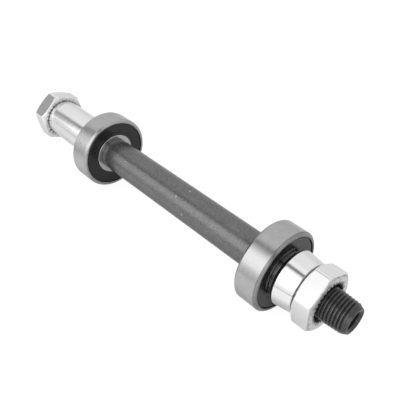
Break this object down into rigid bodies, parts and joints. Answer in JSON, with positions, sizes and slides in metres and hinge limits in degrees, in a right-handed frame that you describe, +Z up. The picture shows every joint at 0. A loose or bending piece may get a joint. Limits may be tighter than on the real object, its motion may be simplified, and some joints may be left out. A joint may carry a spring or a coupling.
{
  "type": "hollow rear hub axle",
  "caption": "Hollow black steel rear hub axle with sealed ball bearings, chromed spacers and serrated hexagon locknuts, for a quick-release skewer.",
  "frame": {"origin": "on the axle's axis, midway between the outer faces of the two locknuts, inside the skewer bore", "axes": "+Y along the axle towards the non-drive end, +Z up, +X square to both"},
  "size_m": [0.026, 0.146, 0.026],
  "materials": {
    "black_steel": "black oxide, satin",
    "chrome_spacer": "bright chrome",
    "chrome_nut": "bright chrome",
    "bearing_steel": "ground",
    "seal_rubber": "matt",
    "ball_steel": "polished",
    "cage_steel": "pressed"
  },
  "bodies": {
    "root": {"axle": "black_steel", "drive_spacer": "chrome_spacer", "nondrive_spacer": "chrome_spacer", "drive_locknut": "chrome_nut", "nondrive_locknut": "chrome_nut", "drive_inner_ring": "bearing_steel", "nondrive_inner_ring": "bearing_steel"},
    "drive_outer": {"drive_outer_ring": "bearing_steel", "drive_seal_inboard": "seal_rubber", "drive_seal_outboard": "seal_rubber"},
    "drive_cage": {"drive_balls": "ball_steel", "drive_cage_half_inboard": "cage_steel", "drive_cage_half_outboard": "cage_steel", "drive_cage_rivets": "cage_steel"},
    "nondrive_outer": {"nondrive_outer_ring": "bearing_steel", "nondrive_seal_inboard": "seal_rubber", "nondrive_seal_outboard": "seal_rubber"},
    "nondrive_cage": {"nondrive_balls": "ball_steel", "nondrive_cage_half_inboard": "cage_steel", "nondrive_cage_half_outboard": "cage_steel", "nondrive_cage_rivets": "cage_steel"}
  },
  "joints": [
    {"name": "drive_bearing_spin", "type": "hinge", "parent": "root", "child": "drive_outer", "pos_m": [0, -0.031, 0], "axis": [0, 1, 0], "continuous": true},
    {"name": "drive_cage_spin", "type": "hinge", "parent": "root", "child": "drive_cage", "pos_m": [0, -0.031, 0], "axis": [0, 1, 0], "continuous": true},
    {"name": "nondrive_bearing_spin", "type": "hinge", "parent": "root", "child": "nondrive_outer", "pos_m": [0, 0.049, 0], "axis": [0, 1, 0], "continuous": true},
    {"name": "nondrive_cage_spin", "type": "hinge", "parent": "root", "child": "nondrive_cage", "pos_m": [0, 0.049, 0], "axis": [0, 1, 0], "continuous": true}
  ],
  "couplings": [
    {"joint": "drive_cage_spin", "follows": "drive_bearing_spin", "ratio": 0.63228},
    {"joint": "nondrive_cage_spin", "follows": "nondrive_bearing_spin", "ratio": 0.63228}
  ]
}
